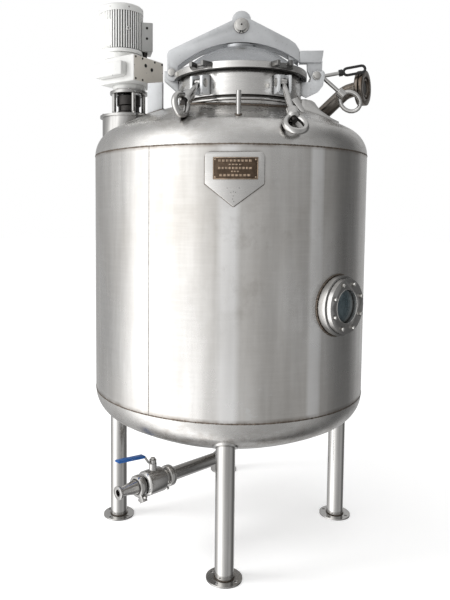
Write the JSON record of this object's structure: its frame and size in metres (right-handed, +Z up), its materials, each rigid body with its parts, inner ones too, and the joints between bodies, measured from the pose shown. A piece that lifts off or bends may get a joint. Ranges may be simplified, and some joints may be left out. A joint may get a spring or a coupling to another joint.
{
  "type": "vertical storage tank",
  "caption": "Upright stainless vessel with dished ends on tube legs, with a hinged and clamped manway lid, a side agitator drive, a sight glass and a bottom ball valve.",
  "frame": {"origin": "on the floor, on the axis of the tank's shell", "axes": "+Z up along the shell's axis, -Y towards the front with the nameplate, +X to the right towards the lid's hinge"},
  "size_m": [1.146, 1.1113, 2.172],
  "materials": {
    "brushed_steel": "brushed stainless steel with worn vertical streaks",
    "bright_steel": "bright turned and polished stainless steel",
    "blasted_steel": "matt blasted stainless plate",
    "heat_tinted_steel": "stainless steel with brown heat tint",
    "drive_paint": "off-white enamel",
    "seal_rubber": "black seal rubber",
    "dipped_plastic": "black dipped coating",
    "blue_sleeve": "blue vinyl sleeve",
    "bronze": "dark bronze plate",
    "sight_glass": "thick sight glass"
  },
  "bodies": {
    "tank": {"shell": "brushed_steel", "top_head": "brushed_steel", "bottom_head": "brushed_steel", "leg_left": "bright_steel", "leg_front": "bright_steel", "leg_right": "bright_steel", "leg_rear": "bright_steel", "manway_neck": "brushed_steel", "hinge_bracket": "blasted_steel", "rod_bracket": "blasted_steel", "hinge_pin": "bright_steel", "latch_bracket": "blasted_steel", "clevis_front_right": "blasted_steel", "clevis_front_left": "blasted_steel", "clevis_rear_right": "blasted_steel", "clevis_rear_left": "blasted_steel", "elbow_nozzle": "heat_tinted_steel", "elbow_flange": "heat_tinted_steel", "lug_left": "blasted_steel", "lug_right": "blasted_steel", "lug_bar": "bright_steel", "front_post": "bright_steel", "agitator_nozzle": "bright_steel", "agitator_lantern": "bright_steel", "gearbox": "drive_paint", "motor": "drive_paint", "fan_cowl": "drive_paint", "terminal_box": "drive_paint", "outlet_pipe": "bright_steel", "valve_body": "bright_steel", "clamp_inner": "bright_steel", "clamp_outer": "bright_steel", "outlet_reducer": "bright_steel", "sight_flange": "bright_steel", "sight_glass": "sight_glass", "nameplate_pad": "brushed_steel", "nameplate": "bronze"},
    "lid": {"lid": "brushed_steel", "lid_gasket": "seal_rubber", "lid_lug": "blasted_steel", "yoke_front": "blasted_steel", "yoke_rear": "blasted_steel", "yoke_block": "blasted_steel", "yoke_pin": "bright_steel", "latch_pin": "bright_steel", "lid_fork_front_right": "blasted_steel", "lid_fork_front_left": "blasted_steel", "lid_fork_rear_right": "blasted_steel", "lid_fork_rear_left": "blasted_steel"},
    "bolt_front_right": {"swing_bolt_front_right": "bright_steel"},
    "bolt_front_left": {"swing_bolt_front_left": "bright_steel"},
    "bolt_rear_right": {"swing_bolt_rear_right": "bright_steel"},
    "bolt_rear_left": {"swing_bolt_rear_left": "bright_steel"},
    "loop_rod": {"loop_rod": "bright_steel", "rod_loop": "dipped_plastic"},
    "eye_rod": {"eye_rod": "bright_steel"},
    "valve_lever": {"valve_lever": "bright_steel", "lever_grip": "blue_sleeve"},
    "agitator": {"agitator_shaft": "bright_steel"}
  },
  "joints": [
    {"name": "lid_swing", "type": "hinge", "parent": "tank", "child": "lid", "pos_m": [0.329, -0.122, 1.821], "axis": [0, 1, 0], "range_deg": [0, 95]},
    {"name": "swing_front_right", "type": "hinge", "parent": "tank", "child": "bolt_front_right", "pos_m": [0.18578, -0.35945, 1.755], "axis": [0.9781, 0.2079, 0], "range_deg": [-137.7, 0]},
    {"name": "swing_front_left", "type": "hinge", "parent": "tank", "child": "bolt_front_left", "pos_m": [-0.11098, -0.35945, 1.755], "axis": [0.9063, -0.4226, 0], "range_deg": [-126.5, 0]},
    {"name": "swing_rear_right", "type": "hinge", "parent": "tank", "child": "bolt_rear_right", "pos_m": [0.19397, 0.11013, 1.755], "axis": [-0.9397, 0.342, 0], "range_deg": [-110, 0]},
    {"name": "swing_rear_left", "type": "hinge", "parent": "tank", "child": "bolt_rear_left", "pos_m": [-0.11917, 0.11013, 1.755], "axis": [-0.9397, -0.342, 0], "range_deg": [-103.4, 0]},
    {"name": "loop_rod_swing", "type": "hinge", "parent": "tank", "child": "loop_rod", "pos_m": [0.352, -0.0695, 1.838], "axis": [0, 1, 0], "range_deg": [-80, 0]},
    {"name": "eye_rod_swing", "type": "hinge", "parent": "tank", "child": "eye_rod", "pos_m": [0.352, -0.0985, 1.838], "axis": [0, 1, 0], "range_deg": [-131, 0]},
    {"name": "lever_turn", "type": "hinge", "parent": "tank", "child": "valve_lever", "pos_m": [-0.28124, -0.28444, 0.345], "axis": [0, 0, -1], "range_deg": [0, 90]},
    {"name": "agitator_spin", "type": "hinge", "parent": "tank", "child": "agitator", "pos_m": [-0.432, 0.07, 1.3], "axis": [0, 0, 1], "continuous": true}
  ]
}
